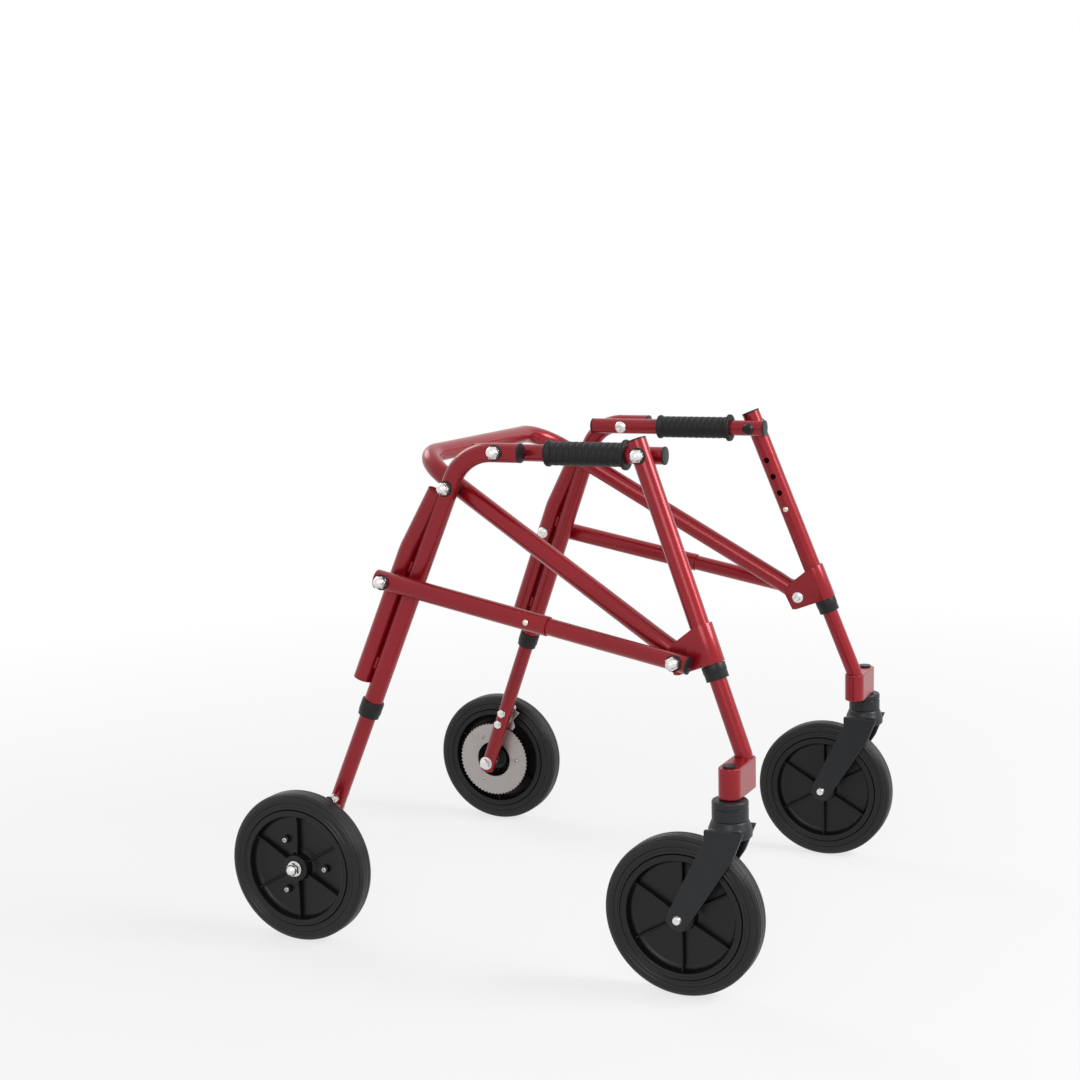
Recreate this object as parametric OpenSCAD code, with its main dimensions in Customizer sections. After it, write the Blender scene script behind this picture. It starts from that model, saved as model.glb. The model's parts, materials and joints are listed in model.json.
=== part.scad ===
// Folding child's walker: four-wheeled frame, worn behind the user.
// Frame: +Z up, the user faces -Y, origin on the floor midway between the wheels.

/* [Side frames] */
// Distance from the centre plane to a side frame, measured at the floor
side_x = 272; // [240:1:320]
// Inward lean of both side frames
side_tilt = 4.2; // [2:0.1:6]
// Height of the handle pivots above the floor, along the side frame
handle_height = 658; // [640:1:680]
// Distance between the two handle pivots
handle_span = 198; // [185:1:215]
// Fore-aft position of the front handle pivot
front_pivot_y = -194; // [-205:1:-185]
// Lean of the front uprights
upright_lean = 21; // [18:0.5:24]
// Lean of the rear legs
leg_lean = 21.4; // [18:0.2:24]
// Rear leg pivot, measured down the leg from the level of the handle
leg_pivot_drop = 51.5; // [45:0.5:60]
// Distance down the upright from the handle pivot to the frame pivot
frame_pivot_along = 256; // [230:1:275]
// Distance of the frame pivot behind the upright
frame_pivot_back = 32.2; // [31:0.2:38]

/* [Tubes] */
// Outside diameter of the main tubes
tube_d = 25.4; // [22:0.1:27]
// Wall of the main tubes
tube_wall = 1.6; // [1.2:0.1:2.5]
// Outside diameter of the handle tubes
handle_d = 22.2; // [19:0.1:24]
// Length of the rubber grips
grip_l = 112; // [90:1:125]
// Sideways offset of the cross frame from the legs at the leg pivot
frame_inset = 30; // [28:0.5:36]
// Distance of the brace outboard of the side frame
brace_out = 31; // [30:0.5:36]
// Length of the outer brace sleeve from its pivot
sleeve_l = 238; // [215:1:260]
// Length of the brace mounting tube down the rear leg
mount_tube_l = 280; // [220:1:290]

/* [Wheels] */
// Diameter of all four wheels
wheel_d = 203; // [180:1:210]
// Width of the tyres
tyre_w = 32; // [28:0.5:36]
// Fore-aft position of the caster stems
stem_y = -334.2; // [-345:0.1:-320]
// Distance from a caster stem back to its axle
trail = 60; // [45:1:70]
// Sideways distance between the two bores of a caster block
lobe_gap = 54; // [50:1:62]
// Sideways distance from the rear leg to the wheel centre
rear_offset = 42.5; // [41:0.5:50]
// Number of ribs on each face of a rim
rib_n = 6; // [5:1:8]
// Number of teeth on the ratchet ring
tooth_n = 60; // [40:2:80]

/* [Hidden] */
$fn = 64;

// a bend is this much fuller than its straights, which run this far into it
bend_swell = 0.1;
bend_lap = 1;

// clearances
fit = 0.06;
slide_fit = 0.1;
gap = 0.4;
over = 1;

tube_r = tube_d / 2;
// faces that touch stand this far apart
rest = 0.03;
seat = tube_r + rest;
bore_r = tube_r - tube_wall;
lower_r = bore_r - slide_fit;
lower_wall = 2;
// where a level face of radius r clears the leaning lower tube
function lean_seat(r) = lower_r / cos(side_tilt) + r * tan(side_tilt) + rest;
handle_r = handle_d / 2;
handle_wall = 2;
wheel_r = wheel_d / 2;

// points of the side frame: x outboard, y rearward, z up the frame
front_pivot = [0, front_pivot_y, handle_height];
rear_pivot = [0, front_pivot_y + handle_span, handle_height];
corner_back = 52;
leg_corner = [0, rear_pivot.y + corner_back, handle_height];
leg_pivot = [0, leg_corner.y + leg_pivot_drop * sin(leg_lean),
  handle_height - leg_pivot_drop * cos(leg_lean)];

function leg_pt(along, back, out = 0) = [out,
  leg_pivot.y + along * sin(leg_lean) + back * cos(leg_lean),
  leg_pivot.z - along * cos(leg_lean) + back * sin(leg_lean)];
function up_pt(along, back, out = 0) = [out,
  front_pivot.y - along * sin(upright_lean) + back * cos(upright_lean),
  front_pivot.z - along * cos(upright_lean) - back * sin(upright_lean)];
function to_world(p) = [side_x + p.x * cos(side_tilt) - p.z * sin(side_tilt), p.y,
  p.x * sin(side_tilt) + p.z * cos(side_tilt)];
function unit(v) = v / norm(v);
function shift_x(p, dx) = [p.x + dx, p.y, p.z];

frame_pivot = up_pt(frame_pivot_along, frame_pivot_back);

// rear leg
leg_top_forward = 30;
leg_bend_r = 58;
collar_l = 22;
collar_r = 15.2;
collar_step = 6;
collar_lip = 0.5;
leg_l = 325;
mount_back = tube_d + 0.6;
mount_pivot_along = 142;
mount_top_along = 10;
mount_top_back = 15;
mount_bend_along = 98;
block_l = 16;
block_back = mount_back / 2;
block_t = 9;
upper_block_along = 118;
lower_block_along = 258;
mount_pivot = leg_pt(mount_pivot_along, mount_back);

// rear lower tube, wheel and ratchet
wheel_v = wheel_r / cos(side_tilt);
axle_along = (leg_pivot.z - wheel_v) / cos(leg_lean);
axle_point = to_world(leg_pt(axle_along, 0));
lower_top_along = 196;
lower_end = 14;
axle_r = 5;
axle_sleeve_r = 8;
hub_r = 18;
hub_half = 17;
ring_r = 59;
ring_hole_r = 28.5;
ring_t = 2.5;
ring_face = 24;
tooth_h = 2.2;
boss_r = 5;
screw_circle = 40;
screw_n = 3;
pawl_along = 73;
stay_along = 93;
pawl_nut_r = 6.8;
pawl_pivot = to_world(leg_pt(axle_along - pawl_along, 0));
pawl_stay = to_world(leg_pt(axle_along - stay_along, 0));
rear_wheel = [axle_point.x + rear_offset, axle_point.y, wheel_r];
ring_x = rear_wheel.x - ring_face - ring_t;

// front upright and bracket
upright_top = 20;
upright_l = 282;
bracket_l = 50;
bracket_from = 222;
plate_t = 3;
plate_in = tube_r + 0.3;
plate_out = plate_in + plate_t;
plate_back = 49;
hole_pitch = 25.4;
hole_r = 4.2;
button_r = 3.9;
button_along = 129;
button_count = 3;

// caster
stem_along = (front_pivot_y - stem_y) / sin(upright_lean);
bend_point = up_pt(stem_along, 0);
bend_world = to_world(bend_point);
caster_x = bend_world.x + lobe_gap;
block_top = 292;
block_h = 39;
block_bottom = block_top - block_h;
lobe_r = 14;
front_lower_top = 108;
stem_bend_r = 34;
block_floor = 3;
// end of the bent tube in the block, straight down from the bend
block_seat = bend_point - [sin(side_tilt), 0, cos(side_tilt)]
  * (bend_world.z - block_bottom - block_floor);
stem_r = 6;
cap_r = 22.4;
cap_h = 24;
crown_top = block_bottom - gap - cap_h;
crown_h = 22;
crown_r = 27;
fork_in = tyre_w / 2 + 4;
fork_t = 7;
fork_out = fork_in + fork_t;
caster_wheel = [caster_x, stem_y + trail, wheel_r];

// handle
handle_in = tube_r + 1 + handle_r;
handle_rear = 46;
handle_front = 20;
grip_r = 15.6;
grip_start = 57.5;
flange_r = 19.5;

// brace
brace_a = shift_x(mount_pivot, brace_out);
brace_b = shift_x(frame_pivot, brace_out);
brace_u = unit(brace_b - brace_a);
brace_len = norm(brace_b - brace_a);
inner_start = 172;
inner_r = bore_r - slide_fit;
brace_past = 14;
brace_button_at = 212;

// fasteners
bolt_r = 4;
nut_r = 8.2;
nut_h = 6;
dome_r = 7.6;
washer_r = 10.5;
washer_t = 1.6;
head_r = 8.6;
head_h = 4;

// ---------- helpers ----------
module on_side(side) {
  if (side > 0) children();
  else mirror([1, 0, 0]) children();
}

module in_plane(side) {
  on_side(side) translate([side_x, 0, 0]) rotate([0, -side_tilt, 0]) children();
}

module rod(a, b, r) {
  u = unit(b - a);
  translate(a) rotate([0, acos(u.z), atan2(u.y, u.x)]) cylinder(r = r, h = norm(b - a));
}

// torus piece that turns direction u into direction w at corner p
module elbow(p, u, w, bend, r) {
  turn = acos(u * w);
  n = unit(w - (w * u) * u);
  s = p - u * bend * tan(turn / 2);
  c = s + n * bend;
  z = cross(-n, u);
  multmatrix([[-n.x, u.x, z.x, c.x], [-n.y, u.y, z.y, c.y], [-n.z, u.z, z.z, c.z], [0, 0, 0, 1]])
    rotate_extrude(angle = turn, $fn = 96) translate([bend, 0]) circle(r = r);
}

// bent rod through the points, bends[i] is the bend radius at inner point i + 1
module bent(points, bends, r, past = 0) {
  last = len(points) - 1;
  dirs = [for (i = [0:last - 1]) unit(points[i + 1] - points[i])];
  cut = [for (i = [0:last]) (i == 0 || i == last) ? -past
    : bends[i - 1] * tan(acos(dirs[i - 1] * dirs[i]) / 2)];
  lap = [for (i = [0:last]) (i == 0 || i == last) ? cut[i] : cut[i] - bend_lap];
  for (i = [0:last - 1]) rod(points[i] + dirs[i] * lap[i], points[i + 1] - dirs[i] * lap[i + 1], r);
  for (i = [1:last - 1]) elbow(points[i], dirs[i - 1], dirs[i], bends[i - 1], r + bend_swell);
}

module bent_tube(points, bends, r, wall) {
  difference() {
    bent(points, bends, r);
    bent(points, bends, r - wall, over);
  }
}

module straight_tube(a, b, r, wall) {
  u = unit(b - a);
  difference() {
    rod(a, b, r);
    rod(a - u * over, b + u * over, r - wall);
  }
}

// rod along x, for anything that crosses the side frame
module across(p, from, to, r) {
  translate([from, p.y, p.z]) rotate([0, 90, 0]) cylinder(r = r, h = to - from);
}

// domed nut whose seat is at x = from, pointing outboard
module dome_nut(p, from) {
  translate([from, p.y, p.z]) rotate([0, 90, 0]) {
    cylinder(r = nut_r + 0.8, h = nut_h, $fn = 6);
    translate([0, 0, nut_h]) intersection() {
      sphere(r = dome_r);
      cylinder(r = nut_r, h = nut_r);
    }
  }
}

// plastic washer or spacer with its bolt hole
module spacer(p, from, to) {
  difference() {
    across(p, from, to, washer_r);
    across(p, from - over, to + over, bolt_r + fit);
  }
}

module button_head(p, from, dir) {
  translate([from, p.y, p.z]) rotate([0, 90 * dir, 0]) cylinder(r1 = head_r, r2 = head_r * 0.7, h = head_h);
}

// ---------- cross frame ----------
arm_start = 11;
arm_straight = 40;
frame_bend_r = 58;
frame_past = 76;
arm_dir = unit(leg_pivot - frame_pivot);
arm_len = norm(leg_pivot - frame_pivot);
arm_slope = frame_inset / (arm_len - arm_straight);
arm_end = to_world(frame_pivot - arm_dir * arm_start);
arm_kink = to_world(frame_pivot + arm_dir * arm_straight);
arm_corner = to_world(shift_x(leg_pivot + arm_dir * frame_past,
  -frame_inset - arm_slope * frame_past));
function other(p) = [-p.x, p.y, p.z];

module cross_frame() {
  points = [arm_end, arm_kink, arm_corner, other(arm_corner), other(arm_kink), other(arm_end)];
  bends = [120, frame_bend_r, frame_bend_r, 120];
  color("firebrick") difference() {
    bent_tube(points, bends, tube_r, tube_wall);
    for (side = [-1, 1]) in_plane(side) {
      across(frame_pivot, -tube_d, tube_d, bolt_r + fit);
      across(leg_pivot, -frame_inset - tube_d, -frame_inset + tube_d, bolt_r + fit);
    }
  }
}

// ---------- rear leg ----------
module rear_leg(side) {
  top = [0, rear_pivot.y - leg_top_forward, handle_height];
  bottom = leg_pt(leg_l, 0);
  mount_top = leg_pt(mount_top_along, mount_top_back);
  mount_bend = leg_pt(mount_bend_along, mount_back);
  mount_end = leg_pt(mount_bend_along + mount_tube_l - mount_bend_along + 8, mount_back);
  color("firebrick") in_plane(side) difference() {
    union() {
      bent([top, leg_corner, bottom], [leg_bend_r], tube_r);
      bent([mount_top, mount_bend, mount_end], [120], tube_r);
      for (along = [upper_block_along, lower_block_along])
        translate(leg_pt(along, block_back)) rotate([leg_lean, 0, 0])
          translate([-block_t / 2, -block_l / 4, -block_l / 2]) cube([block_t, block_l / 2, block_l]);
    }
    bent([top, leg_corner, bottom], [leg_bend_r], bore_r, over);
    rod(leg_pt(mount_bend_along, mount_back), mount_end + unit(mount_end - mount_bend) * over, bore_r);
    across(rear_pivot, -tube_d, tube_d, bolt_r);
    across(leg_pivot, -tube_d, tube_d, bolt_r);
    across(mount_pivot, -tube_d, tube_d, bolt_r);
  }
}

module rear_leg_trim(side) {
  color("dimgray") in_plane(side) {
    // collar clamped round the lower end of the leg
    difference() {
      union() {
        rod(leg_pt(leg_l - collar_l + collar_step, 0), leg_pt(leg_l + collar_lip, 0), collar_r);
        rod(leg_pt(leg_l, 0), leg_pt(leg_l + collar_step, 0), collar_r - 0.8);
      }
      rod(leg_pt(leg_l - collar_l, 0), leg_pt(leg_l + 0.02, 0), tube_r + 0.02);
      rod(leg_pt(leg_l - collar_l, 0), leg_pt(leg_l + collar_l, 0), lower_r + gap);
    }
    // plug in the forward end of the leg
    top = [0, rear_pivot.y - leg_top_forward, handle_height];
    rod(top, top + [0, -2.4, 0], tube_r);
    rod(top - [0, 1, 0], top + [0, 14, 0], bore_r - 0.05);
    // spacers at the three pivots
    spacer(leg_pivot, -frame_inset + tube_r + washer_r * arm_slope + gap, -seat);
    spacer(mount_pivot, seat, brace_out - tube_r - gap);
    spacer(rear_pivot, seat, tube_r + washer_t - rest);
    spacer(leg_pivot, seat, tube_r + washer_t - rest);
  }
}

module rear_pivot_bolts(side) {
  frame_head = -frame_inset - tube_r - head_r * arm_slope - gap;
  color("lightgray") in_plane(side) {
    // handle pivot
    across(rear_pivot, -handle_in - handle_r - gap, tube_r + washer_t, bolt_r);
    dome_nut(rear_pivot, tube_r + washer_t);
    button_head(rear_pivot, -handle_in - handle_r - gap, -1);
    // frame pivot
    across(leg_pivot, frame_head, tube_r + washer_t, bolt_r);
    dome_nut(leg_pivot, tube_r + washer_t);
    button_head(leg_pivot, frame_head, -1);
    // brace pivot
    across(mount_pivot, -tube_r - 0.2, brace_out + tube_r + gap + washer_t, bolt_r);
    across(mount_pivot, brace_out + tube_r + gap, brace_out + tube_r + gap + washer_t, washer_r);
    dome_nut(mount_pivot, brace_out + tube_r + gap + washer_t);
    button_head(mount_pivot, -tube_r - 0.2, -1);
  }
}

// ---------- rear lower tube, axle, pawl ----------
module rear_lower_tube(side) {
  a = leg_pt(lower_top_along, 0);
  b = leg_pt(axle_along + lower_end, 0);
  color("firebrick") difference() {
    in_plane(side) straight_tube(a, b, lower_r, lower_wall);
    on_side(side) {
      across(axle_point, axle_point.x - tube_d, axle_point.x + tube_d, axle_r);
      across(pawl_pivot, pawl_pivot.x - tube_d, pawl_pivot.x + tube_d, bolt_r);
      across(pawl_stay, pawl_stay.x - tube_d, pawl_stay.x + tube_d, bolt_r);
    }
  }
}

module rear_axle(side) {
  inner = axle_point.x - lean_seat(washer_r);
  outer = rear_wheel.x + hub_half + gap;
  color("lightgray") on_side(side) {
    across(axle_point, inner, outer + 1, axle_r);
    across(axle_point, axle_point.x + lean_seat(axle_sleeve_r), rear_wheel.x - hub_half - gap,
      axle_sleeve_r);
    translate([inner, axle_point.y, axle_point.z]) rotate([0, -90, 0]) {
      cylinder(r = washer_r, h = washer_t);
      cylinder(r = nut_r, h = 8, $fn = 6);
    }
    translate([outer, axle_point.y, axle_point.z]) rotate([0, 90, 0])
      cylinder(r = washer_r, h = washer_t);
    dome_nut(rear_wheel, outer + washer_t);
  }
}

module pawl_bolts(side) {
  color("lightgray") on_side(side) for (p = [pawl_pivot, pawl_stay]) {
    across(p, p.x - lean_seat(pawl_nut_r), ring_x + ring_t + 0.6, bolt_r);
    across(p, p.x + lean_seat(bolt_r + 2), ring_x - gap, bolt_r + 2);
    translate([p.x - lean_seat(pawl_nut_r), p.y, p.z]) rotate([0, -90, 0])
      cylinder(r = pawl_nut_r, h = 5, $fn = 6);
    translate([ring_x + ring_t + gap, p.y, p.z]) rotate([0, 90, 0]) cylinder(r = 6.5, h = 2.6);
  }
}

pawl_tip = [rear_wheel.y - 34.5, rear_wheel.z + 50.5];
pawl_root_r = 9;

module pawl_lever(side) {
  p = [pawl_pivot.y, pawl_pivot.z];
  nose = [p + [-8, 3], p + [6, -5], pawl_tip + [3.5, 1], pawl_tip, pawl_tip + [-5, 6]];
  thumb = [p + [-3, 5], p + [-15, 15], p + [-21, 12], p + [-5, -6]];
  color("silver") on_side(side) translate([ring_x, 0, 0]) rotate([90, 0, 90]) difference() {
    union() {
      translate(p) cylinder(r = pawl_root_r, h = ring_t);
      linear_extrude(ring_t) polygon(nose);
      linear_extrude(ring_t) polygon(thumb);
    }
    translate([p.x, p.y, -over]) cylinder(r = bolt_r + fit, h = ring_t + 2 * over);
  }
}

// ---------- wheels, drawn with the axle on x through the origin ----------
module tyre() {
  seat = wheel_r - 22;
  edge = 9;
  half = tyre_w / 2;
  groove = 0.8;
  rotate([0, 90, 0]) rotate_extrude($fn = 128) difference() {
    union() {
      translate([seat, -half]) square([wheel_r - edge - seat, tyre_w]);
      translate([seat, edge - half]) square([wheel_r - seat, tyre_w - 2 * edge]);
      for (s = [-1, 1]) translate([wheel_r - edge, s * (half - edge)]) circle(r = edge);
    }
    for (s = [-1, 1]) for (k = [0, 1])
      translate([wheel_r - edge - 4 - 5 * k, s * half]) circle(r = groove, $fn = 24);
  }
}

module rim(bosses) {
  seat = wheel_r - 22;
  barrel = seat - 9;
  half = tyre_w / 2 - 2;
  web = 2.5;
  rib_t = 3.6;
  rib_h = 9;
  rotate([0, 90, 0]) difference() {
    union() {
      rotate_extrude($fn = 128) {
        translate([axle_r + fit, -hub_half]) square([hub_r - axle_r, 2 * hub_half]);
        translate([hub_r - over, -web]) square([barrel - hub_r + 2 * over, 2 * web]);
        translate([barrel, -half]) square([seat - barrel, 2 * half]);
        translate([barrel - 2, -web - 3]) square([3, 2 * web + 6]);
      }
      for (i = [0:rib_n - 1]) rotate(i * 360 / rib_n)
        for (s = [-1, 1]) translate([hub_r - 2, -rib_t / 2, s > 0 ? 0 : -rib_h])
          cube([barrel - hub_r + 3, rib_t, rib_h]);
      if (bosses) for (i = [0:screw_n - 1]) rotate(30 + i * 360 / screw_n)
        translate([screw_circle, 0, -ring_face]) cylinder(r = boss_r, h = ring_face + 8);
    }
    if (bosses) for (i = [0:screw_n - 1]) rotate(30 + i * 360 / screw_n)
      translate([screw_circle, 0, -ring_face - over]) cylinder(r = 2, h = ring_face + 2 * over + 8);
  }
}

module rear_tyre(side) {
  color("dimgray") on_side(side) translate(rear_wheel) tyre();
}

module rear_rim(side) {
  color("dimgray") on_side(side) translate(rear_wheel) rim(true);
}

module ratchet_ring(side) {
  step = 360 / tooth_n;
  rim_pts = [for (i = [0:tooth_n - 1]) for (k = [0, 1])
    (ring_r - k * tooth_h) * [cos(i * step + k * step * 0.3), sin(i * step + k * step * 0.3)]];
  color("silver") on_side(side) translate([ring_x, rear_wheel.y, rear_wheel.z]) rotate([0, 90, 0])
    linear_extrude(ring_t) difference() {
      polygon(rim_pts);
      circle(r = ring_hole_r, $fn = 96);
      for (i = [0:screw_n - 1]) rotate(30 + i * 360 / screw_n) translate([screw_circle, 0]) circle(r = 2.2);
    }
}

module ring_screws(side) {
  color("lightgray") on_side(side) translate(rear_wheel) rotate([0, 90, 0])
    for (i = [0:screw_n - 1]) rotate(30 + i * 360 / screw_n) translate([screw_circle, 0, 0]) {
      translate([0, 0, -ring_face - ring_t]) cylinder(r = 1.9, h = ring_face + ring_t + 8);
      translate([0, 0, -ring_face - ring_t - 2]) cylinder(r = 3.8, h = 2);
      translate([0, 0, 8]) cylinder(r = 4.2, h = 2.4, $fn = 6);
    }
}

// ---------- front upright ----------
module front_upright(side) {
  color("firebrick") in_plane(side) difference() {
    straight_tube(up_pt(-upright_top, 0), up_pt(upright_l, 0), tube_r, tube_wall);
    across(front_pivot, -tube_d, tube_d, bolt_r);
    for (k = [0:button_count]) across(up_pt(button_along - k * hole_pitch, 0), -tube_d, 0, hole_r);
  }
}

module front_bracket(side) {
  outline = [[-plate_out - 1, 0], [2, 0], [plate_back - 10, 12], [plate_back, 22],
    [plate_back - 2, 48], [plate_back - 8, bracket_l], [-plate_out - 1, bracket_l]];
  color("firebrick") in_plane(side) translate(up_pt(bracket_from, 0)) rotate([-upright_lean, 0, 0])
    rotate([180, 0, 0]) mirror([0, 1, 0]) difference() {
      intersection() {
        linear_extrude(bracket_l) difference() {
          union() {
            circle(r = plate_out);
            translate([-plate_out, 0]) square([2 * plate_out, plate_back]);
          }
          circle(r = tube_r + 0.02);
          translate([-plate_in, 0]) square([2 * plate_in, plate_back + over]);
        }
        translate([-tube_d, 0, 0]) rotate([90, 0, 90]) linear_extrude(2 * tube_d) polygon(outline);
      }
      translate([-tube_d, frame_pivot_back, frame_pivot_along - bracket_from])
        rotate([0, 90, 0]) cylinder(r = bolt_r, h = 2 * tube_d);
    }
}

module front_trim(side) {
  top = up_pt(-upright_top, 0);
  up = unit(up_pt(-upright_top - 1, 0) - top);
  color("dimgray") in_plane(side) {
    // collar
    difference() {
      union() {
        rod(up_pt(bracket_from + bracket_l + gap, 0), up_pt(upright_l + collar_lip, 0), collar_r);
        rod(up_pt(upright_l, 0), up_pt(upright_l + 10, 0), collar_r - 0.6);
      }
      rod(up_pt(upright_l - collar_l, 0), up_pt(upright_l + 0.02, 0), tube_r + 0.02);
      rod(up_pt(upright_l - collar_l, 0), up_pt(upright_l + collar_l, 0), lower_r + gap);
    }
    // plug in the top of the upright
    rod(top, top + up * 2.2, tube_r);
    rod(top - up * 12, top + up, bore_r - 0.05);
    // washer under the nut of the handle pivot
    spacer(front_pivot, seat, tube_r + washer_t - rest);
  }
}

module front_pivot_bolts(side) {
  color("lightgray") in_plane(side) {
    // outer half of the handle pivot
    across(front_pivot, -tube_r + 0.3, tube_r + washer_t, bolt_r);
    dome_nut(front_pivot, tube_r + washer_t);
    // frame pivot
    across(frame_pivot, -plate_out, plate_out, bolt_r);
    button_head(frame_pivot, -plate_out, -1);
  }
}

// ---------- front lower tube and caster ----------
module front_lower_tube(side) {
  color("firebrick") in_plane(side)
    bent_tube([up_pt(front_lower_top, 0), bend_point, block_seat], [stem_bend_r], lower_r, lower_wall);
}

module caster_block(side) {
  color("firebrick") on_side(side) difference() {
    translate([0, stem_y, block_bottom]) linear_extrude(block_h) union() {
      translate([bend_world.x, 0]) circle(r = lobe_r);
      translate([caster_x, 0]) circle(r = lobe_r);
      translate([bend_world.x, -lobe_r]) square([lobe_gap, 2 * lobe_r]);
    }
    translate([side_x, 0, 0]) rotate([0, -side_tilt, 0])
      bent([up_pt(front_lower_top, 0), bend_point, block_seat], [stem_bend_r], lower_r + fit,
        rest);
    translate([caster_x, stem_y, block_bottom - over]) cylinder(r = stem_r + fit, h = block_h + 2 * over);
  }
}

// stem, its top plug and the bearing cap under the block
module caster_stem(side) {
  color("dimgray") on_side(side) translate([caster_x, stem_y, 0]) {
    translate([0, 0, crown_top - 8]) cylinder(r = stem_r, h = block_top - crown_top + 8);
    translate([0, 0, block_top + gap]) cylinder(r = 9, h = 2);
    translate([0, 0, block_top]) cylinder(r = stem_r, h = gap);
    translate([0, 0, crown_top]) rotate_extrude() difference() {
      square([cap_r, cap_h]);
      translate([cap_r, cap_h - 9]) circle(r = 1.2, $fn = 24);
      translate([cap_r - 3, cap_h - 3]) difference() {
        square([4, 4]);
        circle(r = 3);
      }
    }
  }
}

module caster_fork(side) {
  slope = unit([trail, wheel_r - crown_top + crown_h]);
  wide = [-slope.y, slope.x];
  top = [stem_y, crown_top - crown_h];
  end = [stem_y + trail, wheel_r];
  outline = [[stem_y - 25, crown_top - 10], [stem_y + 25, crown_top - 10],
    top + wide * 21 + slope * 14, end + wide * 15, end + wide * 12 + slope * 11, end + slope * 14,
    end - wide * 12 + slope * 11, end - wide * 15, top - wide * 21 + slope * 14];
  color("dimgray") on_side(side) difference() {
    union() {
      for (s = [-1, 1]) translate([caster_x + (s > 0 ? fork_in : -fork_out), 0, 0])
        rotate([90, 0, 90]) linear_extrude(fork_t) polygon(outline);
      translate([caster_x, stem_y, crown_top - 12]) cylinder(r1 = crown_r, r2 = cap_r, h = 12);
      translate([caster_x, stem_y, crown_top - crown_h]) cylinder(r = crown_r, h = crown_h - 12);
    }
    translate([caster_x, stem_y, crown_top - 8]) cylinder(r = stem_r + 0.02, h = 8 + over);
    across(caster_wheel, caster_x - 2 * fork_out, caster_x + 2 * fork_out, axle_r);
  }
}

module caster_axle(side) {
  color("lightgray") on_side(side) {
    across(caster_wheel, caster_x - fork_out, caster_x + fork_out, axle_r);
    for (s = [-1, 1]) translate([caster_x + s * fork_out, caster_wheel.y, caster_wheel.z])
      rotate([0, s * 90, 0]) cylinder(r1 = 6.6, r2 = 4.6, h = 4);
  }
}

module caster_tyre(side) {
  color("dimgray") on_side(side) translate(caster_wheel) tyre();
}

module caster_rim(side) {
  color("dimgray") on_side(side) translate(caster_wheel) rim(false);
}

// ---------- handle ----------
handle_back_end = [-handle_in, rear_pivot.y + handle_rear, handle_height];
handle_front_end = [-handle_in, front_pivot.y - handle_front, handle_height];

module handle_tube(side) {
  color("firebrick") in_plane(side) difference() {
    straight_tube(handle_back_end, handle_front_end, handle_r, handle_wall);
    across(rear_pivot, -handle_in - tube_d, -handle_in + tube_d, bolt_r + fit);
    across(front_pivot, -handle_in - tube_d, -handle_in + tube_d, bolt_r);
  }
}

module handle_grip(side) {
  start = [-handle_in, rear_pivot.y - grip_start, handle_height];
  step = [0, -grip_l, 0];
  flange_t = 6;
  groove_n = 11;
  color("dimgray") in_plane(side) difference() {
    union() {
      rod(start, start + step, grip_r);
      rod(start, start + [0, -4, 0], grip_r + 1.6);
      rod(start + step + [0, flange_t, 0], start + step, flange_r);
    }
    rod(start + [0, over, 0], start + step - [0, over, 0], handle_r + 0.02);
    for (i = [1:groove_n]) translate(start + step * (i / (groove_n + 1.5))) rotate([90, 0, 0])
      rotate_extrude() translate([grip_r + 0.3, 0]) circle(r = 1, $fn = 24);
  }
}

// end plugs and the inner half of the front handle pivot
module handle_caps(side) {
  color("dimgray") in_plane(side) {
    rod(handle_front_end, handle_front_end + [0, -2.6, 0], handle_r + 0.6);
    rod(handle_front_end + [0, 12, 0], handle_front_end, handle_r - handle_wall - 0.05);
    rod(handle_back_end, handle_back_end + [0, 3, 0], handle_r);
    rod(handle_back_end - [0, 12, 0], handle_back_end, handle_r - handle_wall - 0.05);
    across(front_pivot, -handle_in - handle_r - 0.2, -handle_in + handle_r - 0.6, bolt_r);
    button_head(front_pivot, -handle_in - handle_r - 0.2, -1);
  }
}

// ---------- brace ----------
module brace_sleeve(side) {
  tail = brace_a - brace_u * brace_past;
  color("firebrick") in_plane(side) difference() {
    straight_tube(tail, brace_a + brace_u * sleeve_l, tube_r, tube_wall);
    across(mount_pivot, 0, 2 * brace_out + tube_d, bolt_r + fit);
    across(brace_a + brace_u * brace_button_at, brace_out, brace_out + tube_d, hole_r);
  }
}

module brace_inner_tube(side) {
  tip = brace_b + brace_u * brace_past;
  color("firebrick") in_plane(side) {
    difference() {
      straight_tube(brace_a + brace_u * inner_start, tip, inner_r, lower_wall);
      across(frame_pivot, 0, 2 * brace_out + tube_d, bolt_r);
    }
    rod(tip - brace_u * 10, tip, inner_r - lower_wall - 0.05);
    rod(tip, tip + brace_u * 2.4, inner_r + 0.4);
    across(frame_pivot, brace_out - inner_r - 1, brace_out + inner_r + washer_t, bolt_r);
    across(frame_pivot, plate_out + gap, brace_out - inner_r + 0.4, washer_r);
    across(frame_pivot, brace_out + inner_r - 0.4, brace_out + inner_r + washer_t, washer_r);
    dome_nut(frame_pivot, brace_out + inner_r + washer_t);
  }
}

module brace_button(side) {
  p = brace_a + brace_u * brace_button_at;
  color("lightgray") in_plane(side) {
    across(p, brace_out + tube_r - 0.5, brace_out + tube_r + 2, button_r);
    translate([brace_out + tube_r + 2, p.y, p.z]) rotate([0, 90, 0])
      cylinder(r1 = button_r, r2 = 2.2, h = 1.2);
  }
}

module height_button(side) {
  p = up_pt(button_along, 0);
  color("lightgray") in_plane(side) {
    across(p, -tube_r - 2, -tube_r + 0.5, button_r);
    translate([-tube_r - 2, p.y, p.z]) rotate([0, -90, 0]) cylinder(r1 = button_r, r2 = 2.2, h = 1.2);
  }
}

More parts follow.
